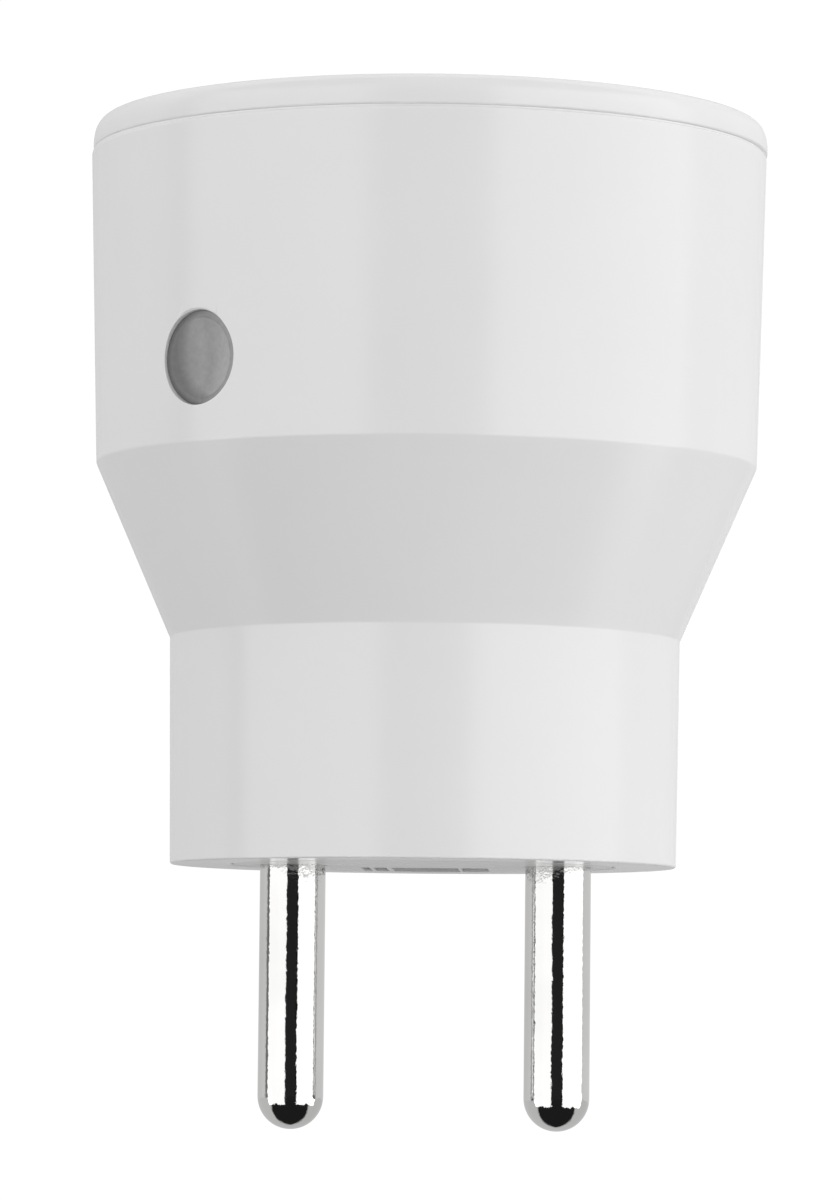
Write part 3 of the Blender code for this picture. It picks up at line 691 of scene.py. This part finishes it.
path = node(tree, "ShaderNodeLightPath")
glow = node(tree, "ShaderNodeEmission")
split = node(tree, "ShaderNodeSeparateXYZ")
tree.links.new(node(tree, "ShaderNodeTexCoord").outputs["Object"], split.inputs[0])


def either(tree, switch, no, yes):
    """One number or another, by a light path switch."""
    made = node(tree, "ShaderNodeMix", data_type="FLOAT")
    tree.links.new(switch, made.inputs["Factor"])
    for name, value in (("A", no), ("B", yes)):
        if isinstance(value, float):
            made.inputs[name].default_value = value
        else:
            tree.links.new(value, made.inputs[name])
    return made.outputs["Result"]


aside = node(tree, "ShaderNodeMath", operation="ABSOLUTE")
tree.links.new(split.outputs["X"], aside.inputs[0])
far = span(tree, added(tree, split.outputs["Y"], aside.outputs[0], 0.55), 0.24, 0.34, 0.015, BACK)
near = span(tree, split.outputs["X"], -0.5, 0.5, *FLOOR_GLOW)
soft = either(tree, path.outputs["Is Glossy Ray"], near, far)
tree.links.new(either(tree, path.outputs["Is Camera Ray"], soft, 1.02), glow.inputs["Strength"])
tree.links.new(glow.outputs[0], tree.nodes["Material Output"].inputs["Surface"])
floor_mesh.materials.append(pale)

world = bpy.data.worlds.new("studio")
bpy.context.scene.world = world
world.use_nodes = True
tree = world.node_tree
ground = tree.nodes["Background"]
path = node(tree, "ShaderNodeLightPath")
coords = node(tree, "ShaderNodeTexCoord")
split = node(tree, "ShaderNodeSeparateXYZ")
tree.links.new(coords.outputs["Generated"], split.inputs[0])
turn = node(tree, "ShaderNodeMath", operation="ARCTAN2")
flip = node(tree, "ShaderNodeMath", operation="MULTIPLY")
flip.inputs[1].default_value = -1.0
tree.links.new(split.outputs["Y"], flip.inputs[0])
tree.links.new(split.outputs["X"], turn.inputs[0])
tree.links.new(flip.outputs[0], turn.inputs[1])
bearing = span(tree, turn.outputs[0], -math.pi, math.pi, 0.0, 1.0)
wall = node(tree, "ShaderNodeValToRGB")
tree.links.new(bearing, wall.inputs["Fac"])
marks = wall.color_ramp.elements
while len(marks) > 1:
    marks.remove(marks[-1])
marks[0].position, marks[0].color = 0.0, (BACK, BACK, BACK, 1)
for angle, value in WALL:
    mark = marks.new((angle + 180.0) / 360.0)
    mark.color = (value, value, value, 1)
up = span(tree, split.outputs["Z"], 0.45, 0.95, 0.0, TOP_GLOW)
fill = node(tree, "ShaderNodeMath", operation="ADD")
tree.links.new(wall.outputs["Color"], fill.inputs[0])
tree.links.new(up, fill.inputs[1])
ground.inputs["Color"].default_value = (1, 1, 1, 1)
tree.links.new(either(tree, path.outputs["Is Camera Ray"], fill.outputs[0], 1.02), ground.inputs["Strength"])


def panel(name, azimuth, width, low, high, distance, radiance):
    """A softbox facing the object. Azimuth is round from -Y towards +X, in degrees."""
    light = bpy.data.lights.new(name, "AREA")
    light.shape = "RECTANGLE"
    light.size, light.size_y = width, high - low
    light.energy = radiance * width * (high - low) * math.pi
    obj = bpy.data.objects.new(name, light)
    bpy.context.scene.collection.objects.link(obj)
    a = math.radians(azimuth)
    spot = Vector((math.sin(a) * distance, -math.cos(a) * distance, (low + high) / 2))
    obj.location = spot
    flat = Vector((spot.x, spot.y, 0))
    obj.rotation_euler = flat.to_track_quat("Z", "Y").to_euler()
    obj.visible_camera = False
    return obj


D = 0.62
TURN = 1.6
for name, start, end, bright, low in (
    ("left_soft_a", -19.5, -51, 1.43, -0.36),
    ("left_soft_b", -51, -86.5, 1.41, -0.29),
    ("right_soft_a", 20.5, 58, 1.57, -0.36),
    ("right_soft_b", 58, 97, 1.60, -0.29),
):
    half = math.radians(abs(end - start) / 2)
    panel(name, (start + end) / 2 + TURN, 2 * D * math.tan(half), low, 0.55, D, bright)

camera = bpy.data.cameras.new("camera")
camera.sensor_width, camera.sensor_fit = 36.0, "AUTO"
camera.lens = 5952.0 / 1200.0 * 36.0
camera.clip_start, camera.clip_end = 0.01, 30.0
eye = bpy.data.objects.new("camera", camera)
bpy.context.scene.collection.objects.link(eye)
pitch, yaw, roll = 0.07531, -0.0016, 0.0095
forward = Vector((math.sin(yaw) * math.cos(pitch), math.cos(yaw) * math.cos(pitch), math.sin(pitch)))
right0 = Vector((math.cos(yaw), -math.sin(yaw), 0))
up0 = right0.cross(forward)
right = right0 * math.cos(roll) + up0 * math.sin(roll)
upward = up0 * math.cos(roll) - right0 * math.sin(roll)
basis = Matrix((right, upward, -forward)).transposed().to_4x4()
eye.matrix_world = (
    Matrix.Rotation(math.radians(TURN), 4, "Z")
    @ Matrix.Translation((0.00009, -0.428, -0.0131))
    @ basis
)
bpy.context.scene.camera = eye
bpy.context.scene.view_settings.view_transform = "Standard"
bpy.context.scene.view_settings.look = "None"
bpy.context.scene.view_settings.exposure = 0.0
bpy.context.scene.view_settings.gamma = 1.0
